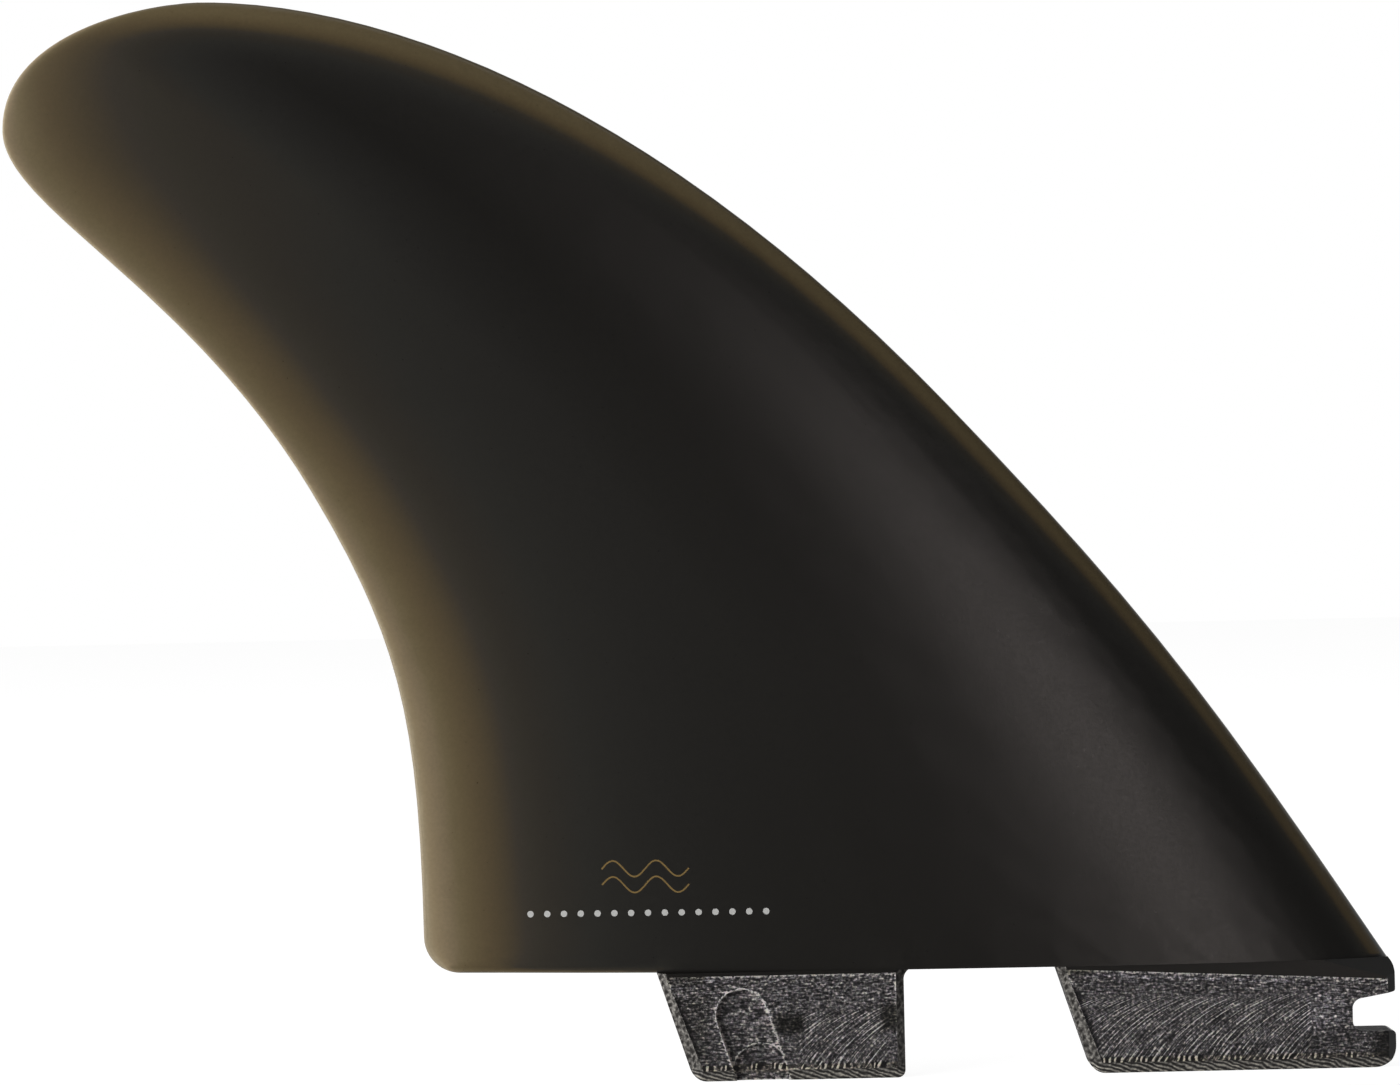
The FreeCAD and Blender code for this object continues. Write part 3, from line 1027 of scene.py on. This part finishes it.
@dataclass
class PrintedMark:
    """A plain decoration printed on the outer face: two gold swells over a row of grey dots."""

    name: str = "printed_mark"
    left: float = -68.0
    right: float = -35.5
    dot_height: float = 8.3
    dots: int = 15
    dot_size: float = 0.9
    dot_sides: int = 16
    swell_left: float = -58.0
    swell_right: float = -46.0
    swell_heights: Span = (12.2, 14.4)
    swell_rise: float = 1.1
    swell_waves: int = 2
    swell_steps: int = 48
    line: float = 0.22
    # The ink stands this far out of the face and reaches this far into it
    proud: float = 0.015
    sunk: float = 0.03
    gold: PrintedInk = PrintedInk("gold_ink", "#63512f")
    grey: PrintedInk = PrintedInk("grey_ink", "#9c9c9a")

    def build(self, fin: bpy.types.Object) -> bpy.types.Object:
        """Print the mark on the fin.

        Args:
            fin: The finished fin.

        Returns:
            The mark as one object.
        """
        points = [vertex.co for vertex in fin.data.vertices]
        tree = BVHTree.FromPolygons(points, [list(p.vertices) for p in fin.data.polygons])
        vertices: list[Triple] = []
        faces: list[tuple[int, ...]] = []
        inks: list[int] = []
        shapes = [(self.dot(x), 0) for x in np.linspace(self.left, self.right, self.dots)]
        shapes += [(shape, 1) for height in self.swell_heights for shape in self.swell(height)]
        for outline, ink in shapes:
            start, count = len(vertices), len(outline)
            for lift in (-self.proud, self.sunk):
                for x, z in outline:
                    vertices.append((x * MM, depth_at(tree, x * MM, z * MM) + lift * MM, z * MM))
            ring = list(range(count))
            faces.append(tuple(start + n for n in ring))
            faces.append(tuple(start + count + n for n in reversed(ring)))
            for n in ring:
                after = (n + 1) % count
                faces.append((start + after, start + n, start + count + n, start + count + after))
            inks += [ink] * (count + 2)
        mesh = bpy.data.meshes.new(self.name)
        mesh.from_pydata(vertices, [], faces)
        mesh.polygons.foreach_set("material_index", inks)
        mesh.materials.append(self.grey.material())
        mesh.materials.append(self.gold.material())
        mark = add_object(self.name, mesh)
        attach(mark, BODY)
        return mark

    def dot(self, x: float) -> list[tuple[float, float]]:
        """Draw a round dot.

        Args:
            x: Its place along the fin.

        Returns:
            Its outline.
        """
        turns = np.linspace(0, 2 * math.pi, self.dot_sides, endpoint=False)
        radius = self.dot_size / 2
        return [(x + radius * math.cos(t), self.dot_height + radius * math.sin(t)) for t in turns]

    def swell(self, height: float) -> list[list[tuple[float, float]]]:
        """Draw a wavy line in short flat pieces, so that each lies close to the curved face.

        Args:
            height: Its middle height.

        Returns:
            The outlines of its pieces.
        """
        places = np.linspace(self.swell_left, self.swell_right, self.swell_steps + 1)
        turns = np.linspace(0, 2 * math.pi * self.swell_waves, self.swell_steps + 1)
        heights = height + self.swell_rise * np.sin(turns)
        slopes = np.gradient(heights, places)
        across = np.stack([-slopes, np.ones_like(slopes)], axis=1)
        across /= np.linalg.norm(across, axis=1)[:, None]
        middle = np.stack([places, heights], axis=1)
        low, high = middle - across * self.line / 2, middle + across * self.line / 2
        return [
            [tuple(low[n]), tuple(low[n + 1]), tuple(high[n + 1]), tuple(high[n])]
            for n in range(self.swell_steps)
        ]


@dataclass(frozen=True)
class Softbox:
    """A flat, evenly lit lamp that faces the fin."""

    name: str
    # Degrees to the right of the camera's line and above the horizon, as the fin sees it
    turn: float
    rise: float
    # Half its width and height in degrees, as the fin sees it
    half_width: float
    half_height: float
    # How bright it looks, where a white wall in full light is one
    brightness: float
    # Whether its image shows in the satin
    mirrored: bool = True
    tint: str = "#ffffff"
    distance: float = 2000.0

    def build(self, target: Vector) -> None:
        """Hang the lamp.

        Args:
            target: The point it faces, in metres.
        """
        width = 2 * self.distance * MM * math.tan(math.radians(self.half_width))
        height = 2 * self.distance * MM * math.tan(math.radians(self.half_height))
        light = bpy.data.lights.new(self.name, "AREA")
        light.shape = "RECTANGLE"
        light.size, light.size_y = width, height
        light.energy = self.brightness * width * height * LAMP_POWER
        light.color = linear(self.tint)[:3]
        lamp = add_object(self.name, light)
        lamp.visible_glossy = self.mirrored
        turn, rise = math.radians(self.turn), math.radians(self.rise)
        out = Vector((math.sin(turn) * math.cos(rise), -math.cos(turn) * math.cos(rise), math.sin(rise)))
        lamp.location = target + out * self.distance * MM
        lamp.rotation_euler = out.to_track_quat("Z", "Y").to_euler()


@dataclass
class Studio:
    """A pale floor, soft lamps and the camera, none of which belong to the fin."""

    # The camera's small roll in degrees, its distance, the point it looks at and its focal length
    roll: float = 1.2317
    distance: float = 600.0
    axis_x: float = -43.5
    axis_z: float = 59.1
    lens: float = 111.8
    floor_front: float = 20.0
    floor_reach: float = 3000.0
    # The paper's colour, how bright it looks to the camera, and how much of what the camera sees that is
    paper: str = "#e6e6e6"
    paper_glow: float = 1.23
    glow_share: float = 0.75
    # Level of the room overhead and on the camera's side, where the white wall behind the fin is one
    ceiling: float = 0.2
    room: float = 0.09
    # The heights, on a sphere of radius one, over which the wall turns into the ceiling
    cove: Span = (0.3, 0.7)
    # Half the width of the change from the room to the wall, on the same sphere
    corner: float = 0.1
    lamps: tuple[Softbox, ...] = (
        Softbox("right_softbox", 14.2, 4.4, 6.5, 5.4, 2.6, tint="#fff3ee"),
        Softbox("left_softbox", -61.0, 6.0, 26.0, 29.0, 6.4, mirrored=False),
        Softbox("top_softbox", -20.0, 84.0, 35.0, 14.0, 0.5),
    )

    def build(self) -> None:
        """Make the floor, the world, the lamps and the camera."""
        self.floor()
        self.world()
        for lamp in self.lamps:
            lamp.build(Vector((self.axis_x, 0, self.axis_z)) * MM)
        self.camera()

    def floor(self) -> None:
        """Lay the floor under the tabs."""
        front, far = -self.floor_front * MM, self.floor_reach * MM
        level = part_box("fin")[0].z
        mesh = bpy.data.meshes.new("floor")
        corners = [(-far, front, level), (far, front, level), (far, far, level), (-far, far, level)]
        mesh.from_pydata(corners, [], [(0, 1, 2, 3)])
        floor = add_object("floor", mesh)
        material, tree = new_material("matt_white_paper")
        diffuse = add_node(tree, "ShaderNodeBsdfDiffuse", {"Color": linear(self.paper)})
        glow = add_node(tree, "ShaderNodeEmission", {"Strength": self.paper_glow})
        seen = add_node(tree, "ShaderNodeLightPath", out="Is Camera Ray")
        share = add_node(tree, "ShaderNodeMath", {0: seen, 1: self.glow_share}, operation="MULTIPLY")
        mix = add_node(tree, "ShaderNodeMixShader", {0: share, 1: diffuse, 2: glow})
        add_node(tree, "ShaderNodeOutputMaterial", {"Surface": mix})
        mesh.materials.append(material)

    def world(self) -> None:
        """White behind the fin and to the camera, dim overhead and on the camera's side."""
        world = bpy.data.worlds.new("studio")
        bpy.context.scene.world = world
        world.use_nodes = True
        tree = world.node_tree
        tree.nodes.clear()
        where = add_node(tree, "ShaderNodeTexCoord", out="Generated")
        split = add_node(tree, "ShaderNodeSeparateXYZ", {0: where}).node.outputs
        levels = [
            add_node(tree, "ShaderNodeMapRange", dict(zip(RANGE, values)))
            for values in (
                (split["Y"], -self.corner, self.corner, self.room, 1.0),
                (split["Z"], *self.cove, 1.0, self.ceiling),
            )
        ]
        level = add_node(tree, "ShaderNodeMath", {0: levels[0], 1: levels[1]}, operation="MULTIPLY")
        seen = add_node(tree, "ShaderNodeLightPath", out="Is Camera Ray")
        strength = add_node(tree, "ShaderNodeMath", {0: seen, 1: level}, operation="MAXIMUM")
        back = add_node(tree, "ShaderNodeBackground", {"Color": (1, 1, 1, 1), "Strength": strength})
        add_node(tree, "ShaderNodeOutputWorld", {"Surface": back})

    def camera(self) -> None:
        """Stand the camera where the photographer's was, rolled by the same small angle."""
        data = bpy.data.cameras.new("camera")
        data.lens = self.lens
        camera = add_object("camera", data)
        roll = math.radians(self.roll)
        right = Vector((math.cos(roll), 0, -math.sin(roll)))
        up = Vector((math.sin(roll), 0, math.cos(roll)))
        turn = Matrix((right, up, Vector((0, -1, 0)))).transposed().to_4x4()
        place = Vector((self.axis_x, -self.distance, self.axis_z)) * MM
        camera.matrix_world = Matrix.Translation(place) @ turn
        bpy.context.scene.camera = camera


def main() -> None:
    """Build the fin and the studio, and report each piece."""
    logging.basicConfig(level=logging.INFO, format="%(name)s: %(message)s")
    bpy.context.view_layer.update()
    bpy.context.scene.view_settings.view_transform = "Standard"
    fin = LaminateFin().build()
    LOG.info("%s: %d triangles", fin.name, len(fin.data.polygons))
    mark = PrintedMark().build(fin)
    LOG.info("%s: %d faces", mark.name, len(mark.data.polygons))
    Studio().build()


if __name__ == "__main__":
    main()
